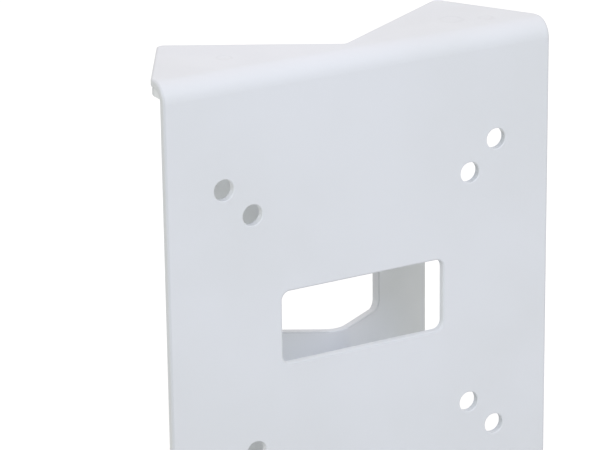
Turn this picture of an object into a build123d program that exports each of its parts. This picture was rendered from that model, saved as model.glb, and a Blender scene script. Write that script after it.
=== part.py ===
"""Adapter bracket that carries a security camera on a pole or on a wide wall corner.

Two sheets, folded from the same steel plate. The front plate is a channel: a flat
face for the camera, with a flange folded back at its top and at its bottom. The
corner plate is a shallow V inside the channel, and its four tongues lie against the
flanges, where they are welded.

Millimetres, +Z up. The camera goes on the side that faces -Y. The origin is the
centre of the front face, where the window and both screw patterns are centred too.
"""

import os
from math import cos, radians, tan

from build123d import *

# Sheet
sheet = 3.2
bend_inside = 4.4
edge_round = 0.8
edge_break = 0.3

# Front plate
plate_width = 170.0
plate_height = 211.0
window_width = 72.6
window_height = 29.7
window_corner = 3.5
camera_hole = 8.4
inner_spacing = 97.0
outer_spacing = 121.0

# Flanges, seen from above
side_run = 2.4
side_corner = 4.0
tip_corner = 3.0
notch_corner = 1.5
flange_lap = 0.65

# Corner plate
wing_angle = 30.0
fold_depth = 17.4
fold_inside = 9.0
side_inset = 0.5
cable_window_reach = 30.0
cable_window_height = 28.5
cable_window_corner = 3.5
tongue_gap = 2.5
bend_clearance = 0.3

# Bends and the sheet's inner faces
bend_outside = bend_inside + sheet
fold_outside = fold_inside + sheet
half_width = plate_width / 2
half_height = plate_height / 2
inner_height = half_height - sheet

# Rounded and broken rims, as far as the sheet has room for them
rim_round = min(edge_round, 0.4 * sheet)
rim_break = min(edge_break, 0.4 * sheet)

# The right wing's front face, as a line seen from above: it starts at the fold
fold = Vector(0, fold_depth)
along = Vector(1, 0).rotate(Axis.Z, wing_angle)
across = Vector(0, 1).rotate(Axis.Z, wing_angle)

# Flange outline: its sides are square to the wings, and its notch runs along them
side_start = bend_outside + side_run
side_reach = (Vector(half_width, side_start) - fold).dot(along)
notch_setback = bend_inside - flange_lap
tip = fold + along * side_reach - across * notch_setback
notch_depth = fold_depth - notch_setback / cos(radians(wing_angle))

# Wings and tongues: the tongues start past the fold
wing_reach = side_reach - side_inset
tongue_start = fold_outside * tan(radians(wing_angle)) + tongue_gap
web_height = plate_height - 2 * (sheet + bend_outside)


def is_cut(face):
    """Whether a face is part of the sheet's cut edge: a strip no wider than the sheet is thick."""
    return face.area < sheet * face.outer_wire().length / 2


def rims(part):
    """The edges where the sheet's skins meet its cut edge."""
    cut_faces = part.faces().filter_by(is_cut)
    skin_edges = set(part.faces().filter_by(is_cut, reverse=True).edges())
    return cut_faces.edges().filter_by(lambda edge: edge in skin_edges)


def on_wing_end(edge):
    """Whether an edge lies on the cut that ends a wing and its tongues."""
    reach = (Vector(abs(edge.center().X), edge.center().Y) - fold).dot(along)
    return abs(reach - wing_reach) < sheet / 10


def within(width, height):
    """A test for edges whose midpoint lies in a rectangle about the middle, seen from the front."""
    slack = sheet / 10
    return lambda edge: (
        abs(edge.center().X) < width / 2 + slack and abs(edge.center().Z) < height / 2 + slack
    )


# Front plate: a channel section, run across the width
with BuildPart() as front_plate:
    with BuildSketch(Plane.YZ):
        with BuildLine():
            FilletPolyline(
                (tip.Y, half_height),
                (0, half_height),
                (0, -half_height),
                (tip.Y, -half_height),
                radius=bend_outside,
            )
            offset(amount=sheet, side=Side.LEFT)
        make_face()
    extrude(amount=half_width, both=True)

    # Seen from above, the sides taper behind the bends and the back has the V notch
    with BuildSketch(Plane.XY.offset(-half_height)):
        with BuildLine():
            right_side = Polyline(
                (0, 0), (half_width, 0), (half_width, side_start), (tip.X, tip.Y), (0, notch_depth)
            )
            mirror(right_side, about=Plane.YZ)
        make_face()
        fillet(vertices().filter_by_position(Axis.Y, side_start, side_start), side_corner)
        fillet(vertices().sort_by(Axis.Y)[-2:], tip_corner)
        fillet(vertices().filter_by_position(Axis.X, 0, 0).sort_by(Axis.Y)[-1], notch_corner)
    extrude(amount=plate_height, mode=Mode.INTERSECT)
    fillet(rims(front_plate), rim_round)

    # The two square screw patterns
    with BuildSketch(Plane.XZ):
        for spacing in (inner_spacing, outer_spacing):
            with GridLocations(spacing, spacing, 2, 2):
                Circle(camera_hole / 2)
    extrude(amount=-sheet, mode=Mode.SUBTRACT)
    pattern_reach = outer_spacing + 2 * camera_hole
    chamfer(rims(front_plate).filter_by(within(pattern_reach, pattern_reach)), rim_break)

    # Cable window: its rim is rounded in front and broken behind
    with BuildSketch(Plane.XZ):
        RectangleRounded(window_width, window_height, window_corner)
    extrude(amount=-sheet, mode=Mode.SUBTRACT)
    in_window = within(window_width, window_height)
    chamfer(rims(front_plate).filter_by(in_window).group_by(Axis.Y)[-1], rim_break)
    fillet(rims(front_plate).filter_by(in_window).group_by(Axis.Y)[0], rim_round)

# Corner plate: the two wings with the fold between them
with BuildPart() as corner_plate:
    with BuildSketch(Plane.XY.offset(-web_height / 2)):
        with BuildLine():
            end = fold + along * wing_reach
            FilletPolyline((-end.X, end.Y), (fold.X, fold.Y), (end.X, end.Y), radius=fold_outside)
            offset(amount=sheet, side=Side.LEFT)
        make_face()
    extrude(amount=web_height)

    # Right wing with its tongues: a channel section square to the wing, run along it
    right_wing = Plane(origin=fold + along * tongue_start, x_dir=across, z_dir=along)
    with BuildSketch(right_wing):
        with BuildLine():
            FilletPolyline(
                (-plate_width, inner_height),
                (sheet, inner_height),
                (sheet, -inner_height),
                (-plate_width, -inner_height),
                radius=bend_outside,
            )
            offset(amount=sheet, side=Side.RIGHT)
        make_face()
    extrude(amount=wing_reach - tongue_start)
    mirror(about=Plane.YZ)
    fillet(rims(corner_plate).filter_by(on_wing_end), rim_round)

    # The tongues' front edges are shaped to nest inside the front plate's bends
    with BuildSketch(Plane.YZ):
        with Locations((sheet + bend_clearance, 0)):
            Rectangle(plate_width, 2 * inner_height, align=(Align.MIN, Align.CENTER))
        fillet(vertices().group_by(Axis.X)[0], bend_inside)
    extrude(amount=half_width - side_inset, both=True, mode=Mode.INTERSECT)

    # Cable window across the fold, cut square to each wing
    right_face = Plane(origin=fold, x_dir=along, z_dir=across)
    left_face = Plane(origin=fold, x_dir=(-along.X, along.Y), z_dir=(-across.X, across.Y))
    with BuildSketch(right_face, left_face):
        Rectangle(cable_window_reach, cable_window_height, align=(Align.MIN, Align.CENTER))
        fillet(vertices().group_by(Axis.X)[-1], cable_window_corner)
    extrude(amount=fold_outside, both=True, mode=Mode.SUBTRACT)
    in_window = within(2 * cable_window_reach, cable_window_height)
    chamfer(rims(corner_plate).filter_by(in_window), rim_break)

os.makedirs("parts", exist_ok=True)

front_plate.part.label = "front_plate"
export_step(front_plate.part, "parts/front_plate.step")

corner_plate.part.label = "corner_plate"
export_step(corner_plate.part, "parts/corner_plate.step")
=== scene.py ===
"""Looks of the folded-steel bracket that carries a security camera on a pole or a wall corner.

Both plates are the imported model's own nodes. This script gives them their white powder
coat, stands them on a plain pale floor in soft light, and looks at them from the
photograph's angle. Metres, +Z up, and the camera of the scene looks at the -Y side.
"""

import logging
import math
from dataclasses import dataclass
from enum import Enum

import bpy
from mathutils import Matrix, Vector

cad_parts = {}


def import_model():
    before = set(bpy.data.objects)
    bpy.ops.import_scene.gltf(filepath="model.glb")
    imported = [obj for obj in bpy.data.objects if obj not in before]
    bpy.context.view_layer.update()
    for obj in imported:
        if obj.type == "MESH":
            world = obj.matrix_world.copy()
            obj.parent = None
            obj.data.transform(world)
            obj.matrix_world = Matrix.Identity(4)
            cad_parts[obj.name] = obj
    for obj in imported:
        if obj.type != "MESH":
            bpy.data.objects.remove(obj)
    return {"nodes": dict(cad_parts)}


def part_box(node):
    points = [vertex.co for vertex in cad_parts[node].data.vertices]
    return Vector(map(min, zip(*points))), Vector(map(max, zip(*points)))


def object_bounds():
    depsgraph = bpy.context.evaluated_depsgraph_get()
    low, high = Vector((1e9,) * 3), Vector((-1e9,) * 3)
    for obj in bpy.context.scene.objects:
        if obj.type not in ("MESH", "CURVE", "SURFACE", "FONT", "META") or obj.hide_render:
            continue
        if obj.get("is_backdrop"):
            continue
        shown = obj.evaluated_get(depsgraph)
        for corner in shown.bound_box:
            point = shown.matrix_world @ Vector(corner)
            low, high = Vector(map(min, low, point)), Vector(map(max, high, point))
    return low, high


log = logging.getLogger("bracket")

MM = 0.001
FAR_FROM_RIMS = 1000 * MM
IMAGE_WIDTH = 600
SENSOR_WIDTH = 36.0


# Small helpers for shader nodes


class NodeGraph:
    """A material's or a world's node tree, with one short call for each kind of node."""

    def __init__(self, tree: bpy.types.NodeTree) -> None:
        """Empties the tree that it is given."""
        self.tree = tree
        self.tree.nodes.clear()

    def add(self, kind: str, **settings: object) -> bpy.types.Node:
        """Adds a node.

        Args:
            kind: The node's type name.
            settings: Values for the node's own properties.

        Returns:
            The new node.
        """
        node = self.tree.nodes.new(kind)
        for name, value in settings.items():
            setattr(node, name, value)
        return node

    def link(self, source: bpy.types.NodeSocket, target: bpy.types.NodeSocket) -> None:
        """Joins an output to an input."""
        self.tree.links.new(source, target)

    def feed(self, target: bpy.types.NodeSocket, value: object) -> None:
        """Gives an input its value.

        Args:
            target: The input.
            value: An output, which is linked to the input, or a plain value.
        """
        if isinstance(value, bpy.types.NodeSocket):
            self.link(value, target)
        else:
            target.default_value = value

    def math(self, operation: str, *values: object) -> bpy.types.NodeSocket:
        """Adds a Math node.

        Args:
            operation: The operation's name.
            values: Numbers or outputs, in the order of the node's inputs.

        Returns:
            The node's output.
        """
        node = self.add("ShaderNodeMath", operation=operation)
        for slot, value in enumerate(values):
            self.feed(node.inputs[slot], value)
        return node.outputs[0]

    def vector(self, operation: str, *values: object) -> bpy.types.Node:
        """Adds a Vector Math node.

        Args:
            operation: The operation's name.
            values: Vectors or outputs, in the order of the node's inputs.

        Returns:
            The node, whose result is in Vector, or in Value where it is a number.
        """
        node = self.add("ShaderNodeVectorMath", operation=operation)
        for slot, value in enumerate(values):
            self.feed(node.inputs[slot], value)
        return node

    def noise(
        self, place: bpy.types.NodeSocket, size: float, detail: float
    ) -> bpy.types.NodeSocket:
        """Adds a Noise Texture.

        Args:
            place: Where the texture is read.
            size: The width of a blotch, in metres.
            detail: How many finer layers lie on the first.

        Returns:
            The noise as one number, from 0 to 1.
        """
        node = self.add("ShaderNodeTexNoise")
        self.link(place, node.inputs["Vector"])
        node.inputs["Scale"].default_value = 1.0 / size
        node.inputs["Detail"].default_value = detail
        return node.outputs["Fac"]

    def ramp(
        self, value: bpy.types.NodeSocket, low: float, high: float, start: float, end: float
    ) -> bpy.types.NodeSocket:
        """Adds a Map Range node that goes smoothly from start to end.

        Args:
            value: The number that is mapped.
            low: Where the result is start.
            high: Where the result is end.
            start: The result at and below low.
            end: The result at and above high.

        Returns:
            The mapped number.
        """
        node = self.add("ShaderNodeMapRange", interpolation_type="SMOOTHSTEP")
        self.link(value, node.inputs["Value"])
        node.inputs["From Min"].default_value = low
        node.inputs["From Max"].default_value = high
        node.inputs["To Min"].default_value = start
        node.inputs["To Max"].default_value = end
        return node.outputs["Result"]

    def blend(
        self, amount: object, first: object, second: object, mode: str = "MIX"
    ) -> bpy.types.NodeSocket:
        """Adds a Mix node for colours.

        Args:
            amount: How much of the second colour is used.
            first: The first colour.
            second: The second colour.
            mode: The blending mode.

        Returns:
            The mixed colour.
        """
        node = self.add("ShaderNodeMix", data_type="RGBA", blend_type=mode)
        self.feed(node.inputs["Factor"], amount)
        self.feed(node.inputs["A"], first)
        self.feed(node.inputs["B"], second)
        return node.outputs["Result"]

    def bump(
        self,
        height: bpy.types.NodeSocket,
        depth: float,
        under: bpy.types.NodeSocket | None = None,
        hollow: bool = False,
    ) -> bpy.types.NodeSocket:
        """Adds a Bump node.

        Args:
            height: The relief, from 0 to 1.
            depth: How far a relief of 1 stands out, in metres.
            under: The normal of the relief that this one lies on, if there is one.
            hollow: Whether the relief goes inwards instead.

        Returns:
            The normal of both together.
        """
        node = self.add("ShaderNodeBump", invert=hollow)
        node.inputs["Strength"].default_value = 1.0
        node.inputs["Distance"].default_value = depth
        self.link(height, node.inputs["Height"])
        if under is not None:
            self.link(under, node.inputs["Normal"])
        return node.outputs["Normal"]


def rgba(colour: tuple[float, float, float]) -> tuple[float, float, float, float]:
    """Returns an opaque colour."""
    return (*colour, 1.0)


# Finishes


@dataclass(frozen=True)
class Spot:
    """Where a surface is, as outputs of nodes.

    The three are how far it lies from the middle plane to either side, how far behind
    the front face, and how far above or below the middle.
    """

    aside: bpy.types.NodeSocket
    back: bpy.types.NodeSocket
    above: bpy.types.NodeSocket


@dataclass(frozen=True)
class SpotWeld:
    """A faint round dent that a spot weld leaves, by its place seen from above."""

    x: float
    y: float
    radius: float


@dataclass(frozen=True)
class Rim:
    """A straight rim of a sheet, seen from above, and its mirror image.

    A point lies reach - aside * |x| - back * y inside it, where aside and back are
    the outward direction's parts along X and Y.
    """

    aside: float
    back: float
    reach: float

    def inside(self, graph: NodeGraph, spot: Spot) -> bpy.types.NodeSocket:
        """Measures how far inside the rim the surface is.

        Args:
            graph: The material's nodes.
            spot: Where the surface is.

        Returns:
            The distance in metres.
        """
        depth = graph.math("MULTIPLY_ADD", spot.aside, -self.aside, self.reach)
        return graph.math("MULTIPLY_ADD", spot.back, -self.back, depth)


@dataclass(frozen=True)
class WindowRim:
    """The front rim of a window with rounded corners, cut square through a sheet.

    The sheet starts on the middle plane at back, turned from the front face by the
    angle turn in degrees. The window reaches along it from there, and its mirror image
    does the same. The grey on the rims, partly a thinner coat and partly painted shade,
    fades out sooner here than at the sheet's other rims, by one factor along the skin and
    by another along the cut.
    """

    reach: float
    height: float
    corner: float
    back: float = 0.0
    turn: float = 0.0
    skin_factor: float = 1.35
    cut_factor: float = 2.0

    def inside(self, graph: NodeGraph, spot: Spot) -> bpy.types.NodeSocket:
        """Measures how far from the rim the surface is, longer by the two factors.

        Args:
            graph: The material's nodes.
            spot: Where the surface is.

        Returns:
            The distance in metres.
        """
        cos, sin = math.cos(math.radians(self.turn)), math.sin(math.radians(self.turn))
        behind = graph.math("SUBTRACT", spot.back, self.back)
        along = graph.math("MULTIPLY_ADD", behind, sin, graph.math("MULTIPLY", spot.aside, cos))
        into = graph.math("MULTIPLY_ADD", behind, cos, graph.math("MULTIPLY", spot.aside, -sin))

        # Past the middles of the rounded corners, sideways and upwards
        past = graph.math("SUBTRACT", along, self.reach - self.corner)
        past = graph.math("MAXIMUM", past, 0.0)
        over = graph.math("SUBTRACT", spot.above, self.height / 2 - self.corner)
        over = graph.math("MAXIMUM", over, 0.0)
        square = graph.math("MULTIPLY_ADD", past, past, graph.math("MULTIPLY", over, over))

        skin = graph.math("SUBTRACT", graph.math("SQRT", square), self.corner)
        skin = graph.math("MULTIPLY", skin, self.skin_factor)
        return graph.math("MULTIPLY_ADD", graph.math("MAXIMUM", into, 0.0), self.cut_factor, skin)


@dataclass(frozen=True)
class PowderCoat:
    """White powder coat on steel sheet: satin, with a fine orange peel.

    Its tone and its gloss change slowly, in patches and in smaller clouds. Its rims are
    greyer, partly from a thinner coat and partly as painted shade, and it shows the spot
    welds under it, with painted shade on the dents' slopes.
    """

    colour: tuple[float, float, float] = (0.800, 0.815, 0.845)
    thin_colour: tuple[float, float, float] = (0.770, 0.785, 0.805)
    patch_size: float = 90 * MM
    patch_span: tuple[float, float] = (0.35, 0.65)
    patch_shift: tuple[float, float, float] = (-0.18, 0.30, -0.35)
    roughness: float = 0.42
    roughness_spread: float = 0.05
    cloud_size: float = 14 * MM
    cloud_span: tuple[float, float] = (0.3, 0.7)
    peel_size: float = 1.7 * MM
    peel_depth: float = 0.020 * MM
    grain_size: float = 0.45 * MM
    grain_depth: float = 0.004 * MM
    rims: tuple[Rim | WindowRim, ...] = ()
    rim_full: float = 0.4 * MM
    rim_width: float = 1.2 * MM
    # Painted shade on the rims, partly a thinner coat: how much greyer they get
    rim_thin_coat_and_shade: float = 0.13
    welds: tuple[SpotWeld, ...] = ()
    weld_depth: float = 0.14 * MM
    # Painted shade on the dents' slopes: how much greyer they get at most
    weld_slope_shade: float = 0.035
    weld_margin: float = 1.2 * MM
    weld_floor_share: float = 0.6
    weld_wander: float = 2.4 * MM
    weld_wander_size: float = 3.0 * MM

    def thin_and_shaded_rims(self, graph: NodeGraph, place: bpy.types.NodeSocket) -> bpy.types.NodeSocket:
        """Finds the rims, which are painted greyer: partly a thinner coat, partly painted shade.

        Args:
            graph: The material's nodes.
            place: Where the surface is.

        Returns:
            A number that is 1 on the rims and falls to 0 inside them.
        """
        parts = graph.add("ShaderNodeSeparateXYZ")
        graph.link(place, parts.inputs["Vector"])
        x, y, z = (parts.outputs[axis] for axis in "XYZ")
        spot = Spot(graph.math("ABSOLUTE", x), y, graph.math("ABSOLUTE", z))
        nearest = FAR_FROM_RIMS
        for rim in self.rims:
            nearest = graph.math("MINIMUM", rim.inside(graph, spot), nearest)
        return graph.ramp(nearest, self.rim_full, self.rim_width, 1.0, 0.0)

    def dents(self, graph: NodeGraph, place: bpy.types.NodeSocket) -> bpy.types.NodeSocket:
        """Makes the spot welds' dents, with an edge that wanders a little.

        Args:
            graph: The material's nodes.
            place: Where the surface is.

        Returns:
            A number that is 1 on the middle of a weld and falls to 0 around it.
        """
        level = graph.vector("MULTIPLY", place, (1.0, 1.0, 0.0)).outputs["Vector"]
        wander = graph.noise(place, self.weld_wander_size, detail=1.0)
        wander = graph.math("MULTIPLY", wander, self.weld_wander)
        depth = 0.0
        for weld in self.welds:
            gap = graph.vector("DISTANCE", level, (weld.x, weld.y, 0.0)).outputs["Value"]
            edge = weld.radius + self.weld_margin
            reach = graph.math("ADD", gap, wander)
            dent = graph.ramp(reach, self.weld_floor_share * edge, edge, 1.0, 0.0)
            depth = graph.math("MAXIMUM", dent, depth)
        return depth

    def tone(
        self, graph: NodeGraph, place: bpy.types.NodeSocket, dents: bpy.types.NodeSocket | None
    ) -> bpy.types.NodeSocket:
        """Makes the coat's colour, with painted shade on the rims and on the dents' slopes.

        Args:
            graph: The material's nodes.
            place: Where the surface is.
            dents: The spot welds' dents, if the sheet has any.

        Returns:
            The colour.
        """
        spot = graph.vector("ADD", place, self.patch_shift).outputs["Vector"]
        patches = graph.noise(spot, self.patch_size, detail=3.0)
        amount = graph.ramp(patches, *self.patch_span, 0.0, 1.0)
        colour = graph.blend(amount, rgba(self.thin_colour), rgba(self.colour))
        # Painted shade on the rims, partly a thinner coat
        grey = graph.math("MULTIPLY", self.thin_and_shaded_rims(graph, place), self.rim_thin_coat_and_shade)
        if dents is not None:
            # Painted shade on the dents' slopes, greyest half way down a dent, where this product
            # is a quarter
            slope = graph.math("MULTIPLY", dents, graph.math("SUBTRACT", 1.0, dents))
            grey = graph.math("MULTIPLY_ADD", slope, 4.0 * self.weld_slope_shade, grey)
        return graph.blend(1.0, colour, graph.math("SUBTRACT", 1.0, grey), "MULTIPLY")

    def dullness(self, graph: NodeGraph, place: bpy.types.NodeSocket) -> bpy.types.NodeSocket:
        """Makes the coat's roughness.

        Args:
            graph: The material's nodes.
            place: Where the surface is.

        Returns:
            The roughness.
        """
        low = self.roughness - self.roughness_spread
        high = self.roughness + self.roughness_spread
        clouds = graph.noise(place, self.cloud_size, detail=2.0)
        return graph.ramp(clouds, *self.cloud_span, low, high)

    def relief(
        self, graph: NodeGraph, place: bpy.types.NodeSocket, dents: bpy.types.NodeSocket | None
    ) -> bpy.types.NodeSocket:
        """Makes the dents, the orange peel on them and the grain on that.

        Args:
            graph: The material's nodes.
            place: Where the surface is.
            dents: The spot welds' dents, if the sheet has any.

        Returns:
            The surface's normal.
        """
        under = None if dents is None else graph.bump(dents, self.weld_depth, hollow=True)
        peel = graph.noise(place, self.peel_size, detail=1.0)
        grain = graph.noise(place, self.grain_size, detail=2.0)
        return graph.bump(grain, self.grain_depth, graph.bump(peel, self.peel_depth, under))

    def material(self, name: str) -> bpy.types.Material:
        """Builds the coat's material.

        Args:
            name: The material's name.

        Returns:
            The material.
        """
        material = bpy.data.materials.new(name)
        material.use_nodes = True
        graph = NodeGraph(material.node_tree)
        place = graph.add("ShaderNodeTexCoord").outputs["Object"]
        dents = self.dents(graph, place) if self.welds else None
        shader = graph.add("ShaderNodeBsdfPrincipled")
        graph.link(self.tone(graph, place, dents), shader.inputs["Base Color"])
        graph.link(self.dullness(graph, place), shader.inputs["Roughness"])
        graph.link(self.relief(graph, place, dents), shader.inputs["Normal"])
        output = graph.add("ShaderNodeOutputMaterial")
        graph.link(shader.outputs["BSDF"], output.inputs["Surface"])
        return material


# The bracket


@dataclass
class Plate:
    """One folded sheet of the bracket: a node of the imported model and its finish."""

    node: str
    finish: PowderCoat

    def dress(self, nodes: dict[str, bpy.types.Object]) -> bpy.types.Object:
        """Gives the sheet its coat.

        Args:
            nodes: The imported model's nodes by name.

        Returns:
            The sheet's object.
        """
        sheet = nodes[self.node]
        sheet.data.materials.clear()
        sheet.data.materials.append(self.finish.material(f"{self.node}_coat"))
        log.info("%s: coated, %d faces", self.node, len(sheet.data.polygons))
        return sheet


@dataclass
class Bracket:
    """The two folded sheets, welded together.

    Its sizes are the construction's own, seen from above, with angles in degrees. They
    say where the rims are, on which the coat is thin and painted shade lies, and where
    the spot welds are.
    """

    half_width: float
    wing_angle: float = 30.0
    side_start: float = 10.0 * MM
    fold_depth: float = 17.4 * MM
    notch_setback: float = 3.75 * MM
    side_inset: float = 0.5 * MM
    window_width: float = 72.6 * MM
    window_height: float = 29.7 * MM
    cable_window_reach: float = 30.0 * MM
    cable_window_height: float = 28.5 * MM
    window_corner: float = 3.5 * MM
    welds: tuple[SpotWeld, ...] = (
        SpotWeld(52.0 * MM, 19.8 * MM, 5.7 * MM),
        SpotWeld(65.0 * MM, 14.7 * MM, 3.7 * MM),
        SpotWeld(-49.0 * MM, 20.0 * MM, 3.6 * MM),
    )

    def flange_side(self, inset: float = 0.0) -> Rim:
        """Finds the flanges' side, which is square to the wings.

        Args:
            inset: How far inside that side the rim lies.

        Returns:
            The rim.
        """
        turn = math.radians(self.wing_angle)
        reach = self.half_width * math.cos(turn) + self.side_start * math.sin(turn)
        return Rim(math.cos(turn), math.sin(turn), reach - inset)

    def notch(self) -> Rim:
        """Finds the notch in each flange, which runs along the wings.

        Returns:
            The rim.
        """
        turn = math.radians(self.wing_angle)
        reach = self.fold_depth * math.cos(turn) - self.notch_setback
        return Rim(-math.sin(turn), math.cos(turn), reach)

    def front_plate(self) -> Plate:
        """Finishes the front plate: the face that carries the camera, and the flanges.

        Returns:
            The plate.
        """
        face_side = Rim(1.0, 0.0, self.half_width)
        window = WindowRim(self.window_width / 2, self.window_height, self.window_corner)
        rims = (face_side, self.flange_side(), self.notch(), window)
        return Plate("front_plate", PowderCoat(rims=rims, welds=self.welds))

    def corner_plate(self) -> Plate:
        """Finishes the corner plate: the wings and their tongues.

        Returns:
            The plate.
        """
        window = WindowRim(
            self.cable_window_reach,
            self.cable_window_height,
            self.window_corner,
            self.fold_depth,
            self.wing_angle,
        )
        rims = (self.flange_side(self.side_inset), window)
        return Plate("corner_plate", PowderCoat(rims=rims))

    def dress(self, nodes: dict[str, bpy.types.Object]) -> None:
        """Gives both sheets their coats.

        Args:
            nodes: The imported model's nodes by name.
        """
        for plate in (self.front_plate(), self.corner_plate()):
            plate.dress(nodes)


# The studio


class Ray(Enum):
    """The kinds of ray that see the plain white background."""

    CAMERA = "Is Camera Ray"
    GLOSSY = "Is Glossy Ray"
    THROUGH = "Is Transmission Ray"


def sees_background(graph: NodeGraph) -> bpy.types.NodeSocket:
    """Finds the rays that see the white background.

    Args:
        graph: The material's or the world's nodes.

    Returns:
        An output that is 1 for such a ray and 0 for any other.
    """
    path = graph.add("ShaderNodeLightPath")
    seen = path.outputs[Ray.CAMERA.value]
    for kind in (Ray.GLOSSY, Ray.THROUGH):
        seen = graph.math("MAXIMUM", seen, path.outputs[kind.value])
    return seen


@dataclass(frozen=True)
class SoftBox:
    """A square lamp that points at the bracket: metres and watts."""

    name: str
    place: tuple[float, float, float]
    size: float
    power: float
    colour: tuple[float, float, float]

    def build(self, target: Vector) -> bpy.types.Object:
        """Makes the lamp.

        Args:
            target: The point that the lamp faces.

        Returns:
            The lamp's object.
        """
        lamp = bpy.data.lights.new(self.name, "AREA")
        lamp.shape = "SQUARE"
        lamp.size = self.size
        lamp.energy = self.power
        lamp.color = self.colour
        holder = bpy.data.objects.new(self.name, lamp)
        bpy.context.scene.collection.objects.link(holder)
        holder.location = self.place
        holder.rotation_euler = (target - Vector(self.place)).to_track_quat("-Z", "Y").to_euler()
        log.info("%s lamp: %.1f W", self.name, self.power)
        return holder


@dataclass(frozen=True)
class PhotoView:
    """Where the photograph was taken from: angles in degrees, lengths in millimetres."""

    heading: float = 29.2
    pitch: float = 19.40
    roll: float = -0.77
    distance: float = 1238.0
    aside: float = 25.05
    above: float = -33.70
    focal_pixels: float = 3177.0
    nearest: float = 50.0
    farthest: float = 60000.0

    def build(self) -> bpy.types.Object:
        """Makes the scene's camera.

        Returns:
            The camera's object.
        """
        heading, pitch, roll = (math.radians(a) for a in (self.heading, self.pitch, self.roll))
        ahead = Vector((math.sin(heading), math.cos(heading), 0.0))
        forward = math.cos(pitch) * ahead - math.sin(pitch) * Vector((0.0, 0.0, 1.0))
        level = Vector((math.cos(heading), -math.sin(heading), 0.0))
        upright = level.cross(forward)
        right = math.cos(roll) * level + math.sin(roll) * upright
        up = -math.sin(roll) * level + math.cos(roll) * upright
        eye = -MM * (self.distance * forward + self.aside * right + self.above * up)
        lens = bpy.data.cameras.new("photo_view")
        lens.sensor_fit = "HORIZONTAL"
        lens.sensor_width = SENSOR_WIDTH
        lens.lens = self.focal_pixels * SENSOR_WIDTH / IMAGE_WIDTH
        lens.clip_start = self.nearest * MM
        lens.clip_end = self.farthest * MM
        camera = bpy.data.objects.new("photo_view", lens)
        bpy.context.scene.collection.objects.link(camera)
        turn = Matrix((right, up, -forward)).transposed()
        camera.matrix_world = Matrix.Translation(eye) @ turn.to_4x4()
        bpy.context.scene.camera = camera
        log.info("camera: %.0f mm away", self.distance)
        return camera


@dataclass
class Studio:
    """Pale floor, white surroundings, soft light and the camera."""

    floor_size: float = 40.0
    floor_colour: tuple[float, float, float] = (0.62, 0.62, 0.62)
    floor_roughness: float = 0.9
    floor_gloss: float = 0.1
    floor_glow: float = 0.55
    sky_colour: tuple[float, float, float] = (1.015, 0.995, 0.955)
    sky_strength: float = 0.732
    aim: tuple[float, float, float] = (0.0, 0.02, 0.0)
    boxes: tuple[SoftBox, ...] = (
        SoftBox("high", (-0.35, -1.35, 1.45), 0.9, 10.4, (0.90, 1.0, 1.28)),
        SoftBox("left", (-1.70, -0.45, 0.25), 1.2, 4.2, (0.84, 1.0, 0.82)),
        SoftBox("right", (1.70, -0.45, 0.25), 1.2, 1.4, (0.5, 1.0, 0.6)),
        SoftBox("top", (0.0, 0.30, 2.0), 1.5, 0.76, (2.0, 0.8, 1.2)),
    )

    def floor_paint(self) -> bpy.types.Material:
        """Makes the floor's paint, which glows a little where it is seen.

        Returns:
            The material.
        """
        material = bpy.data.materials.new("floor_paint")
        material.use_nodes = True
        graph = NodeGraph(material.node_tree)
        paint = graph.add("ShaderNodeBsdfPrincipled")
        paint.inputs["Base Color"].default_value = rgba(self.floor_colour)
        paint.inputs["Roughness"].default_value = self.floor_roughness
        paint.inputs["Specular IOR Level"].default_value = self.floor_gloss
        glow = graph.add("ShaderNodeEmission")
        strength = graph.math("MULTIPLY", sees_background(graph), self.floor_glow)
        graph.link(strength, glow.inputs["Strength"])
        both = graph.add("ShaderNodeAddShader")
        graph.link(paint.outputs["BSDF"], both.inputs[0])
        graph.link(glow.outputs["Emission"], both.inputs[1])
        output = graph.add("ShaderNodeOutputMaterial")
        graph.link(both.outputs["Shader"], output.inputs["Surface"])
        return material

    def floor(self, height: float) -> bpy.types.Object:
        """Makes the floor that the bracket stands on.

        Args:
            height: The floor's place along Z, in metres.

        Returns:
            The floor's object.
        """
        bpy.ops.mesh.primitive_plane_add(size=self.floor_size, location=(0.0, 0.0, height))
        floor = bpy.context.object
        floor.name = "floor"
        bpy.ops.object.transform_apply(location=True, rotation=True, scale=True)
        floor.data.materials.append(self.floor_paint())
        floor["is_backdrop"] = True
        log.info("floor: at %.4f m", height)
        return floor

    def sky(self) -> bpy.types.World:
        """Makes the light from all around, with plain white where it is seen.

        Returns:
            The scene's world.
        """
        world = bpy.data.worlds.new("white_room")
        bpy.context.scene.world = world
        world.use_nodes = True
        graph = NodeGraph(world.node_tree)
        light = graph.add("ShaderNodeBackground")
        light.inputs["Color"].default_value = rgba(self.sky_colour)
        light.inputs["Strength"].default_value = self.sky_strength
        white = graph.add("ShaderNodeBackground")
        white.inputs["Color"].default_value = (1.0, 1.0, 1.0, 1.0)
        white.inputs["Strength"].default_value = 1.0
        either = graph.add("ShaderNodeMixShader")
        graph.link(sees_background(graph), either.inputs["Fac"])
        graph.link(light.outputs["Background"], either.inputs[1])
        graph.link(white.outputs["Background"], either.inputs[2])
        output = graph.add("ShaderNodeOutputWorld")
        graph.link(either.outputs["Shader"], output.inputs["Surface"])
        return world

    def build(self, lowest: float) -> None:
        """Makes everything around the bracket.

        Args:
            lowest: The bracket's lowest point along Z, in metres.
        """
        self.floor(lowest)
        self.sky()
        for box in self.boxes:
            box.build(Vector(self.aim))
        PhotoView().build()


def main() -> None:
    """Builds the scene: the two plates, then the studio."""
    logging.basicConfig(level=logging.INFO, format="%(name)s: %(message)s")
    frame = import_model()
    cad_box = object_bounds()
    bpy.ops.object.select_all(action="DESELECT")
    bpy.context.scene.view_settings.view_transform = "Standard"
    bracket = Bracket(half_width=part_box("front_plate")[1].x)
    bracket.dress(frame["nodes"])
    Studio().build(cad_box[0].z)


if __name__ == "__main__":
    main()
